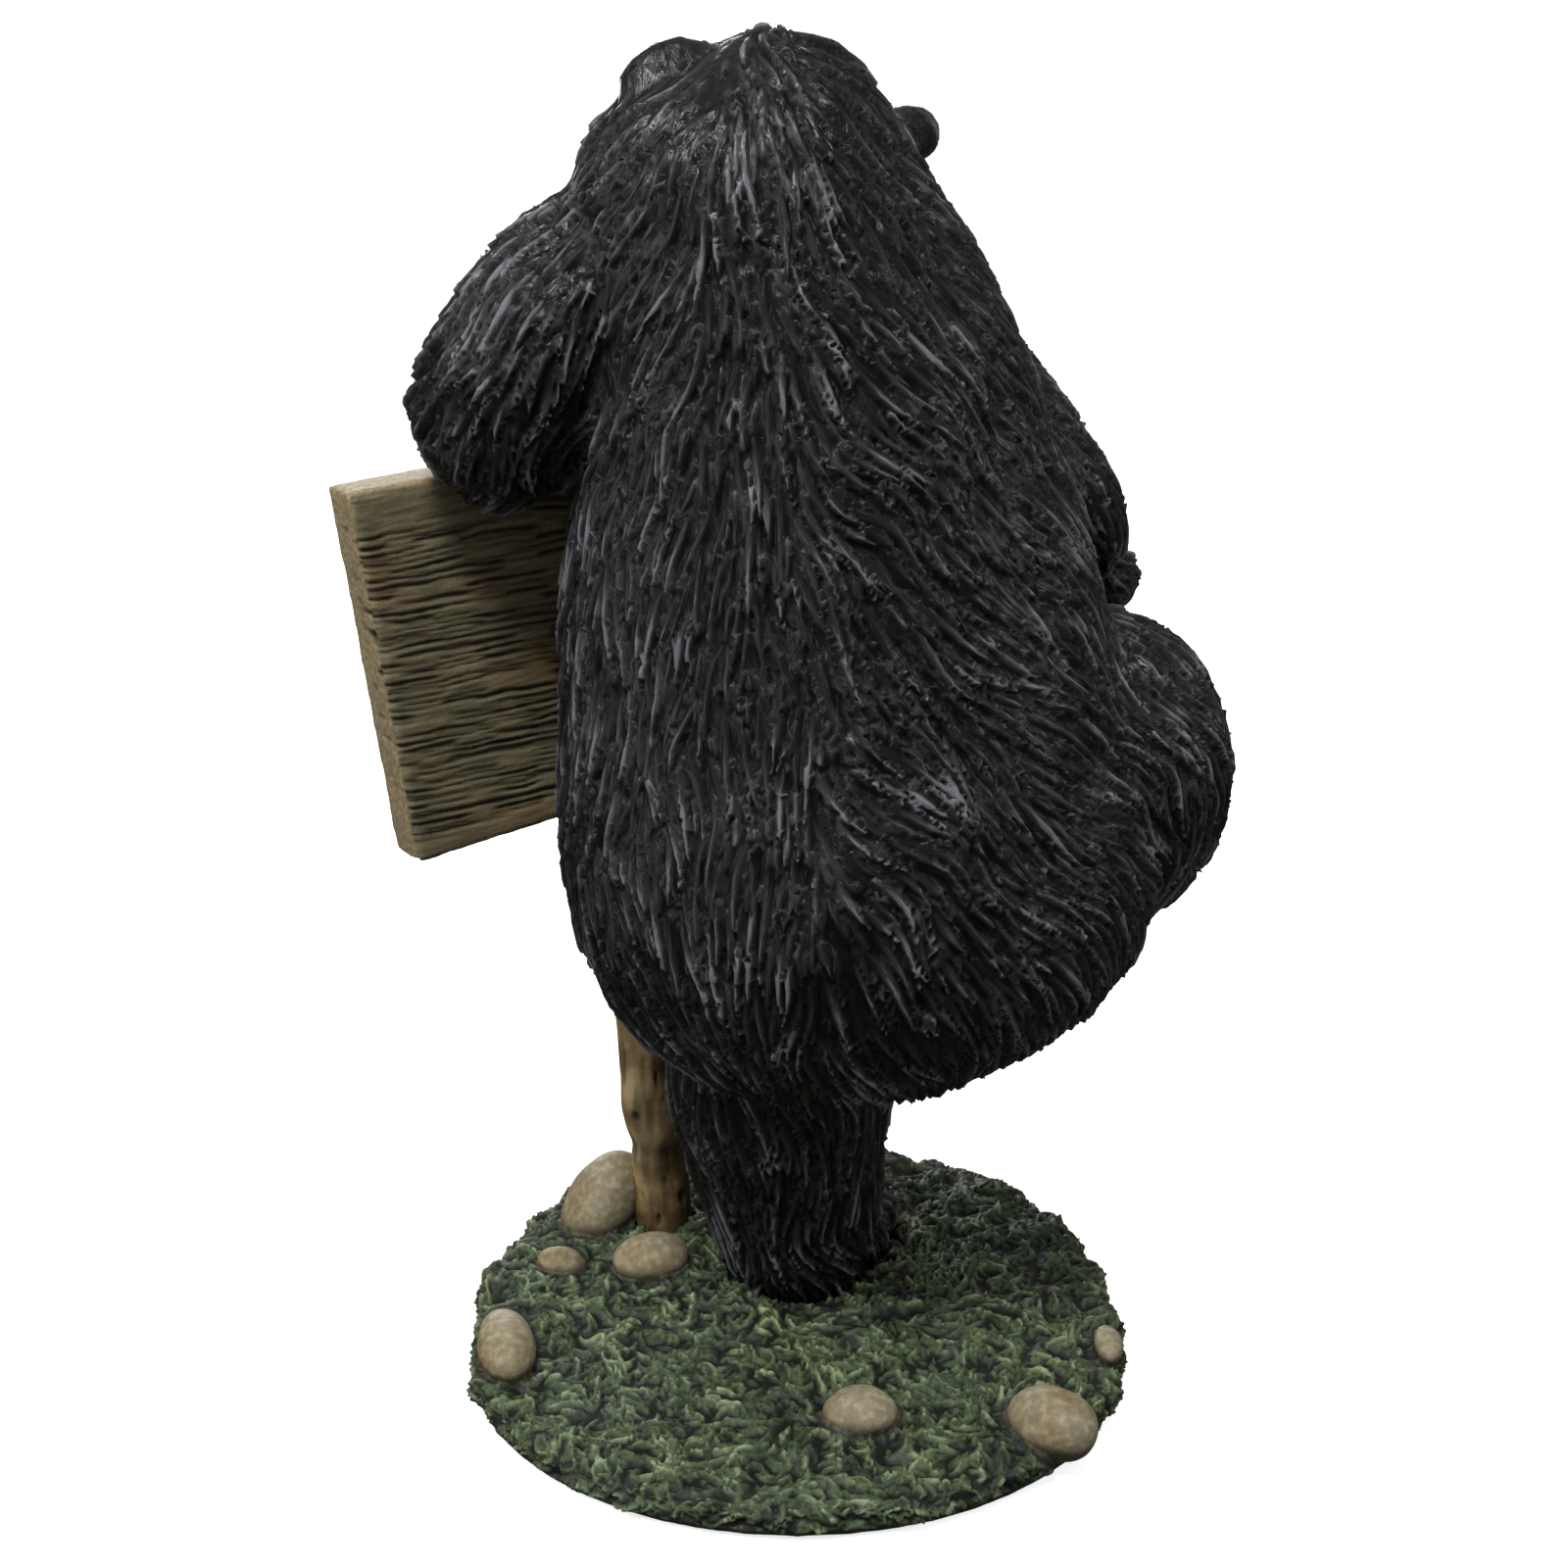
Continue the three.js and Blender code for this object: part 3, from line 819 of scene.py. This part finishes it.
# %% Measure along the board
BOARD_TURN = math.radians(30.0)
BOARD_LEAN = math.radians(7.0)
BOARD_FOOT = np.array([55.0, -49.0, 168.0]) * MM
BOARD_HIGH = 110.0
PLANK_SQUARE = 1.25 * MM
turned = (math.cos(BOARD_TURN), math.sin(BOARD_TURN))
level, rise = math.cos(BOARD_LEAN), math.sin(BOARD_LEAN)
GRAIN_AXIS = np.array([turned[0] * level, turned[1] * level, -rise])
UP_AXIS = np.array([turned[0] * rise, turned[1] * rise, level])
BACK_AXIS = np.array([-turned[1], turned[0], 0.0])

board = copy_of("notice_board", "hewn_board")
fine_skin(board, PLANK_SQUARE, rounds=6)
plank = places(board)
plank_normals = normals(board)
own = np.stack([(plank - BOARD_FOOT) @ axis for axis in (GRAIN_AXIS, UP_AXIS, BACK_AXIS)], axis=1) / MM
print("board leans", round(math.degrees(BOARD_LEAN), 1), "degrees")

# %% [markdown]
# ### Grain
# Cracks could be cut one by one, but a wire brush leaves hundreds. Here they are rows that run with
# the plank, bent by slow waves, and each row fades in and out along its length. A few nicks break
# the sawn edges, and one deeper split runs the length of the plank.

# %% Press the grain into the plank
CRACK_DEPTH = 0.8 * MM
FINE_DEPTH = 0.35 * MM
SWELL_RELIEF = 0.5 * MM
GRAIN_SLOPE = 0.07
WAVE_SIZE = (30.0, 14.0, 60.0)
RIPPLE_SIZE = (7.0, 5.0, 30.0)
SPLIT_UP = 11.5
SPLIT_WIDTH = 0.7
along_grain, up_board, through = own[:, 0], own[:, 1], own[:, 2]
wavy = own.copy()
wavy[:, 1] += 2.6 * soft_noise(own, WAVE_SIZE, seed=11) - GRAIN_SLOPE * along_grain
wavy[:, 1] += 1.1 * soft_noise(own, RIPPLE_SIZE, seed=12)


def wire_marks(spacing, width, seed):
    """Long wavy grooves side by side, as a wire brush leaves them. Each one fades in and out."""
    rows_up = wavy[:, 1] / spacing
    row = np.floor(rows_up)
    across_row = rows_up - row - 0.5
    fade = soft_noise(np.stack([along_grain, row * 5.0, through], axis=1), (12.0, 1.0, 60.0), seed)
    return np.exp(-((across_row * spacing / width) ** 2)) * smooth_step(0.25, 0.6, fade)


long_cracks = wire_marks(spacing=2.6, width=0.5, seed=13)
fine_cracks = wire_marks(spacing=1.7, width=0.4, seed=14)
facing = plank_normals @ BACK_AXIS
on_face = smooth_step(0.25, 0.75, np.abs(facing))
plainer_front = 1.0 - 0.6 * smooth_step(0.0, -0.5, facing)
plank_part = smooth_step(-4.0, 0.0, up_board)
smooth_bands = 1.0 - 0.8 * smooth_step(BOARD_HIGH - 12.0, BOARD_HIGH - 6.0, up_board)
smooth_bands *= 1.0 - 0.8 * smooth_step(9.0, 5.0, up_board)
edge_nicks = smooth_step(0.24, 0.12, soft_noise(own, (60.0, 3.0, 9.0), seed=15)) * (1.0 - on_face)
cracked = smooth_bands * on_face * plainer_front
crack = np.clip((long_cracks + 0.5 * fine_cracks) * cracked, 0.0, 1.0)
split = np.exp(-(((wavy[:, 1] - SPLIT_UP) / SPLIT_WIDTH) ** 2)) * on_face * plainer_front
crack = np.maximum(crack, split)
end_nicks = edge_nicks * smooth_step(-2.0, 6.0, through)
crack = np.maximum(crack, end_nicks) * plank_part
swell = soft_noise(own, (26.0, 12.0, 40.0), seed=16) - 0.5
print("share of the board in cracks", round(float((crack > 0.3).mean()), 3))

# %% [markdown]
# ### The post
# The post imitates a peeled branch: swellings where twigs were, small pits, faint bark lines that
# run up it, and a waist low down. Noise stretched upwards makes all but the waist.

# %% Carve the post
KNOT_RELIEF = 2.4 * MM
KNOT_SIZE = (9.0 * MM, 9.0 * MM, 13.0 * MM)
PIT_DEPTH = 1.2 * MM
PIT_SIZE = (2.6 * MM, 2.6 * MM, 7.0 * MM)
BARK_DEPTH = 0.25 * MM
BARK_SIZE = (2.2 * MM, 2.2 * MM, 16.0 * MM)
WAIST_UP = 51.0
WAIST_REACH = 3.5
WAIST_DEPTH = 1.0 * MM
up_post = plank[:, 2] / MM
post_part = 1.0 - plank_part
knots = soft_noise(plank, KNOT_SIZE, seed=21) - 0.5
pits = smooth_step(0.22, 0.08, soft_noise(plank, PIT_SIZE, seed=22))
bark = smooth_step(0.5, 0.25, soft_noise(plank, BARK_SIZE, seed=23))
waist = np.exp(-(((up_post - WAIST_UP) / WAIST_REACH) ** 2))
push = plank_part * (SWELL_RELIEF * swell - CRACK_DEPTH * crack - FINE_DEPTH * fine_cracks * cracked)
push += post_part * (KNOT_RELIEF * knots - PIT_DEPTH * pits)
push -= post_part * (BARK_DEPTH * bark + WAIST_DEPTH * waist)
set_places(board, plank + plank_normals * push[:, None])

crack = np.clip(crack + post_part * (0.6 * pits + 0.35 * bark + 0.4 * waist), 0.0, 1.0)
keep_numbers(board, "crack_depth", crack)
keep_numbers(board, "on_post", post_part)
keep_numbers(board, "sawn_end", plank_part * (1.0 - on_face))
place = board.data.attributes.new("board_place", "FLOAT_VECTOR", "POINT")
place.data.foreach_set("vector", own.astype(np.float32).ravel())
thin_to(board, MOST_TRIANGLES)

# %% [markdown]
# ## Paint for the wood
# The imitation wood is painted in tan, then washed with thin black-brown that runs into the
# cracks, with a green and an ochre stain wiped over it in patches, and dry brushed with tan on the
# high places. The sawn ends and the edges stay bare tan. The noise reads the board's own places
# in millimetres, so that its streaks run with the cracks. Thin washes dry matt, so it is rough.

# %% Mix the wood paint
STREAK_SIZE = (12.5, 1.136, 3.125)
BLOTCH_SIZE = 16.67
SPECKLE_SIZE = 1.429
wood_paint, tree, shader = new_material("washed_wood_paint_on_resin", Roughness=0.62)
shader.inputs["Specular IOR Level"].default_value = 0.3
crack_depth = node(tree, "ShaderNodeAttribute", {"attribute_name": "crack_depth"})
on_post = node(tree, "ShaderNodeAttribute", {"attribute_name": "on_post"})
sawn_end = node(tree, "ShaderNodeAttribute", {"attribute_name": "sawn_end"})
board_place = node(tree, "ShaderNodeAttribute", {"attribute_name": "board_place"})
where = board_place.outputs["Vector"]
STREAKED = {"Scale": tuple(1.0 / size for size in STREAK_SIZE)}
streaked = node(tree, "ShaderNodeMapping", STREAKED, Vector=where)
streaks = node(tree, "ShaderNodeTexNoise", {"Scale": 1.0, "Detail": 3.0}, Vector=streaked.outputs[0])
blotches = node(tree, "ShaderNodeTexNoise", {"Scale": 1.0 / BLOTCH_SIZE, "Detail": 3.0}, Vector=where)
speckle = node(tree, "ShaderNodeTexNoise", {"Scale": 1.0 / SPECKLE_SIZE, "Detail": 3.0}, Vector=where)
STAINS = [(0.38, "454734"), (0.54, "57503a"), (0.68, "634d34")]
stain = node(tree, "ShaderNodeValToRGB", {"stops": STAINS}, Fac=blotches.outputs["Fac"])
WORN_TANS = [(0.35, "5b5039"), (0.6, "8d8062")]
tan = node(tree, "ShaderNodeValToRGB", {"stops": WORN_TANS}, Fac=streaks.outputs["Fac"])
END_TANS = [(0.35, "6a5d44"), (0.55, "7d7053"), (0.7, "938768")]
end = node(tree, "ShaderNodeValToRGB", {"stops": END_TANS}, Fac=speckle.outputs["Fac"])
POLE_TANS = [(0.36, "4c3c22"), (0.52, "74613e"), (0.66, "978661")]
pole = node(tree, "ShaderNodeValToRGB", {"stops": POLE_TANS}, Fac=blotches.outputs["Fac"])
wood = node(tree, "ShaderNodeMix", {**PAINT_OVER, 0: 0.38}, _6=stain.outputs[0], _7=tan.outputs[0])
wood = node(
    tree, "ShaderNodeMix", PAINT_OVER, _0=sawn_end.outputs["Fac"], _6=wood.outputs[2], _7=end.outputs[0]
)
wood = node(
    tree, "ShaderNodeMix", PAINT_OVER, _0=on_post.outputs["Fac"], _6=wood.outputs[2], _7=pole.outputs[0]
)
wash = node(tree, "ShaderNodeMath", {"operation": "POWER", 1: 0.75}, _0=crack_depth.outputs["Fac"])
BROWN_WASH = {**PAINT_OVER, 7: linear("17130c")}
wood = node(tree, "ShaderNodeMix", BROWN_WASH, _0=wash.outputs[0], _6=wood.outputs[2])
tree.links.new(wood.outputs[2], shader.inputs["Base Color"])
rough = node(tree, "ShaderNodeBump", {"Strength": 0.4, "Distance": 0.0005}, Height=speckle.outputs["Fac"])
tree.links.new(rough.outputs["Normal"], shader.inputs["Normal"])
board.data.materials.append(wood_paint)
only(board)
bpy.ops.object.shade_smooth()
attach(board, "root")
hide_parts("notice_board")
print("wood paint", len(tree.nodes), "nodes")

# %% [markdown]
# ## The mound of grass
# The mound is one casting with its pebbles. The grass is a mat of short curled worms of clay,
# laid every way, and the same walk that laid the fur lays it here, with a field of directions
# that wanders. The pebbles are known by their places, rounded off smooth, and kept free of grass.

# %% Remesh the mound
RIM_LOW = 9.0 * MM
RIM_HIGH = 26.0 * MM
MOUND_CROWN = 6.0 * MM
RISE_FROM = -50.0 * MM
RISE_TO = 90.0 * MM
MOUND_SQUARE = 1.5 * MM
PEBBLES = [
    {"at": (63, -47), "size": (11.5, 12, 18), "turn": 20, "tilt": -36},
    {"at": (46, -18), "size": (12, 9, 8), "turn": 5, "tilt": 10},
    {"at": (74, -20), "size": (8, 6, 4.5), "turn": 0, "tilt": -12},
    {"at": (88, 20), "size": (9, 17, 9), "turn": 12, "tilt": 25},
    {"at": (-18, 58), "size": (11, 9, 7), "turn": 0, "tilt": 0},
    {"at": (-74, 60), "size": (12, 15, 10), "turn": 38, "tilt": -20},
    {"at": (-95, 17), "size": (4.5, 9, 4.5), "turn": 0, "tilt": -20},
]


def mound_top(x, y):
    r = np.hypot(x, y) / BASE_RADIUS
    rim = RIM_LOW + (RIM_HIGH - RIM_LOW) * smooth_step(RISE_FROM, RISE_TO, -y)
    return rim + MOUND_CROWN * (1.0 - r * r)


mound = copy_of("grass_base", "grass_mound")
fine_skin(mound, MOUND_SQUARE, rounds=3)
ground = places(mound)
ground_normals = normals(mound)

# %% [markdown]
# ### Pebbles
# The casting's pebbles still have facets. New balls could be set over them, but they are part of
# the mound, so the points near each one are drawn on to its own ellipsoid. A little noise makes
# them lumpy, so that no two are alike.

# %% Round off the pebbles
PEBBLE_LUMPS = 0.16
PEBBLE_LOWEST = 2.0 * MM
pebble = np.zeros(len(ground))
foot = np.zeros(len(ground))
shaped = ground.copy()
for number, one in enumerate(PEBBLES):
    size = np.array(one["size"]) * MM
    x, y = np.array(one["at"]) * MM
    centre = np.array([x, y, mound_top(x, y) + size[2] * 0.25])
    turn, tilt = math.radians(one["turn"]), math.radians(one["tilt"])
    q = (ground - centre) @ (rotation(turn, "Z") @ rotation(tilt, "Y")) / size
    radius = np.linalg.norm(q, axis=1)
    lumps = 1.0 + PEBBLE_LUMPS * (soft_noise(ground, size * 0.9, seed=30 + number) - 0.5)
    share = smooth_step(1.1, 1.03, radius) * (ground[:, 2] > PEBBLE_LOWEST)
    onto = centre + (ground - centre) * (lumps / np.maximum(radius, 0.2))[:, None]
    shaped += (onto - ground) * share[:, None]
    pebble = np.maximum(pebble, share)
    foot = np.maximum(foot, smooth_step(1.3, 1.08, radius))
print(len(PEBBLES), "pebbles, share of the mound", round(float(pebble.mean()), 3))

# %% [markdown]
# ### Grass
# Single blades would be too thin to cast, so the modeller presses on short curls of clay. The curls
# keep off the pebbles and off the flat underside, and they are taller round the rim.

# %% Lay the grass
GRASS_RELIEF = 2.5 * MM
TUFT_RELIEF = 3.4 * MM
TUFT_SIZE = 8.0 * MM
CURL_SIZE = 9.0 * MM
BLADE_MIDDLE = 0.45
BLADE_STEP = 1.2 * MM
BLADE_SPACING = 1.8 * MM
BLADE_LENGTHS = (6.0, 14.0)
BLADE_HALF_WIDTHS = (0.75, 1.3)


def grass_lie(p):
    angle = 4.0 * math.pi * soft_noise(p, CURL_SIZE, seed=41)
    return np.stack([np.cos(angle), np.sin(angle), np.zeros(len(p))], axis=1)


grows = (1.0 - pebble) * smooth_step(-0.6, -0.1, ground_normals[:, 2])
mat = np.nonzero(grows > 0.3)[0]
blade_roots = scatter_roots(ground[mat], BLADE_SPACING)
blade_length = rng.uniform(*BLADE_LENGTHS, len(blade_roots)) * MM
blade_width = rng.uniform(*BLADE_HALF_WIDTHS, len(blade_roots)) * MM
blade_looks = {
    "rank": rng.uniform(0.0, 1.0, len(blade_roots)),
    "lift": rng.uniform(0.55, 1.0, len(blade_roots)),
    "tone": rng.uniform(0.0, 1.0, len(blade_roots)),
}
mat_tree = tree_of(ground[mat])
walk = (ground[mat], ground_normals[mat], mat_tree, blade_roots, blade_length, BLADE_STEP, grass_lie)
rows = walk_locks(*walk, waver=0.5, wander=0.0)
blades = splat(ground[mat], rows, blade_length, blade_width, BLADE_STEP, blade_looks)
blade = {key: np.zeros(len(ground)) for key in ("height", "tone")}
for key, values in blade.items():
    values[mat] = blades[key]
tufts = soft_noise(ground, TUFT_SIZE, seed=42) - 0.5
near_rim = smooth_step(0.7, 0.95, np.hypot(ground[:, 0], ground[:, 1]) / BASE_RADIUS)
tufts *= 1.0 + 0.7 * near_rim
push = grows * ((blade["height"] - BLADE_MIDDLE) * GRASS_RELIEF + tufts * TUFT_RELIEF)
grown = shaped + ground_normals * push[:, None]
grown[:, 2] = np.maximum(grown[:, 2], LOW[2])
set_places(mound, grown)
print(len(blade_roots), "blades of grass")

keep_numbers(mound, "blade_height", blade["height"])
keep_numbers(mound, "blade_tone", blade["tone"])
keep_numbers(mound, "pebble", pebble)
# Painted shade: the grass is darkened in a ring round the foot of each pebble.
keep_numbers(mound, "pebble_foot", foot * (1.0 - pebble))
keep_numbers(mound, "rim_side", smooth_step(1.6 * MM, 0.3 * MM, ground[:, 2]))
# Painted shade: each pebble is darkened over its lowest few millimetres above the grass.
above_grass = shaped[:, 2] - mound_top(shaped[:, 0], shaped[:, 1])
keep_numbers(mound, "pebble_low", smooth_step(4.5 * MM, 0.5 * MM, above_grass))
thin_to(mound, MOST_TRIANGLES)

# %% [markdown]
# ## Paint for the mound
# Dark green goes on first, then two dry brushings, mid green and a chalky pale green, that catch
# the backs of the curls. The pebbles are tan, and painted shade darkens their feet and the grass
# round them, where the two meet. All of it is matt acrylic, and a fine grit breaks up its colour
# as the chalky dry brush does.

# %% Mix the grass and pebble paint
DRIFT_SIZE = 22.22 * MM
GRIT_SIZE = 2.381 * MM
grass_paint, tree, shader = new_material("dry_brushed_grass_on_resin", Roughness=0.6)
shader.inputs["Specular IOR Level"].default_value = 0.3
blade_height = node(tree, "ShaderNodeAttribute", {"attribute_name": "blade_height"})
blade_tone = node(tree, "ShaderNodeAttribute", {"attribute_name": "blade_tone"})
is_pebble = node(tree, "ShaderNodeAttribute", {"attribute_name": "pebble"})
pebble_foot = node(tree, "ShaderNodeAttribute", {"attribute_name": "pebble_foot"})
rim_side = node(tree, "ShaderNodeAttribute", {"attribute_name": "rim_side"})
pebble_low = node(tree, "ShaderNodeAttribute", {"attribute_name": "pebble_low"})
place = node(tree, "ShaderNodeTexCoord")
across_mound = place.outputs["Object"]
drift = node(tree, "ShaderNodeTexNoise", {"Scale": 1.0 / DRIFT_SIZE, "Detail": 3.0}, Vector=across_mound)
grit = node(tree, "ShaderNodeTexNoise", {"Scale": 1.0 / GRIT_SIZE, "Detail": 3.0}, Vector=across_mound)
lifted = node(tree, "ShaderNodeMath", {"operation": "MULTIPLY", 1: 0.45}, _0=blade_height.outputs["Fac"])
for source, share in ((blade_tone, 0.34), (grit, 0.42)):
    MORE = {"operation": "MULTIPLY_ADD", 1: share}
    lifted = node(tree, "ShaderNodeMath", MORE, _0=source.outputs["Fac"], _2=lifted.outputs[0])
GREENS = [(0.25, "0c110a"), (0.42, "263020"), (0.66, "4c593f"), (0.9, "8f997d")]
green = node(tree, "ShaderNodeValToRGB", {"stops": GREENS}, Fac=lifted.outputs[0])
DRIFTS = [(0.36, "6b786c"), (0.5, "808873"), (0.62, "a09c78")]
yellowed = node(tree, "ShaderNodeValToRGB", {"stops": DRIFTS}, Fac=drift.outputs["Fac"])
OVERLAY = {"data_type": "RGBA", "blend_type": "OVERLAY", 0: 0.5}
grass = node(tree, "ShaderNodeMix", OVERLAY, _6=green.outputs[0], _7=yellowed.outputs[0])
RIM_DARK = {**PAINT_OVER, 7: linear("3a4032")}
grass = node(tree, "ShaderNodeMix", RIM_DARK, _0=rim_side.outputs["Fac"], _6=grass.outputs[2])
# Painted shade: the grass goes nearly black round the foot of each pebble.
PAINTED_SHADE_GREEN = {**PAINT_OVER, 7: linear("10130c")}
grass = node(tree, "ShaderNodeMix", PAINTED_SHADE_GREEN, _0=pebble_foot.outputs["Fac"], _6=grass.outputs[2])
STONE_TANS = [(0.36, "564f3c"), (0.5, "6f674e"), (0.66, "958d74")]
stone = node(tree, "ShaderNodeValToRGB", {"stops": STONE_TANS}, Fac=grit.outputs["Fac"])
STONE_STAINS = [(0.38, "75603b"), (0.48, "7c7259"), (0.6, "837c67")]
stained = node(tree, "ShaderNodeValToRGB", {"stops": STONE_STAINS}, Fac=drift.outputs["Fac"])
stone = node(tree, "ShaderNodeMix", {**PAINT_OVER, 0: 0.5}, _6=stone.outputs[0], _7=stained.outputs[0])
# Painted shade: a dark brown over the foot of each pebble, where it meets the grass.
low_shade = node(tree, "ShaderNodeMath", {"operation": "MULTIPLY", 1: 0.75}, _0=pebble_low.outputs["Fac"])
PAINTED_SHADE_BROWN = {**PAINT_OVER, 7: linear("241c11")}
stone = node(tree, "ShaderNodeMix", PAINTED_SHADE_BROWN, _0=low_shade.outputs[0], _6=stone.outputs[2])
painted = node(
    tree, "ShaderNodeMix", PAINT_OVER, _0=is_pebble.outputs["Fac"], _6=grass.outputs[2], _7=stone.outputs[2]
)
tree.links.new(painted.outputs[2], shader.inputs["Base Color"])
rough = node(tree, "ShaderNodeBump", {"Strength": 0.35, "Distance": 0.0005}, Height=grit.outputs["Fac"])
tree.links.new(rough.outputs["Normal"], shader.inputs["Normal"])
mound.data.materials.append(grass_paint)
only(mound)
bpy.ops.object.shade_smooth()
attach(mound, "root")
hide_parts("grass_base")
print("grass paint", len(tree.nodes), "nodes")
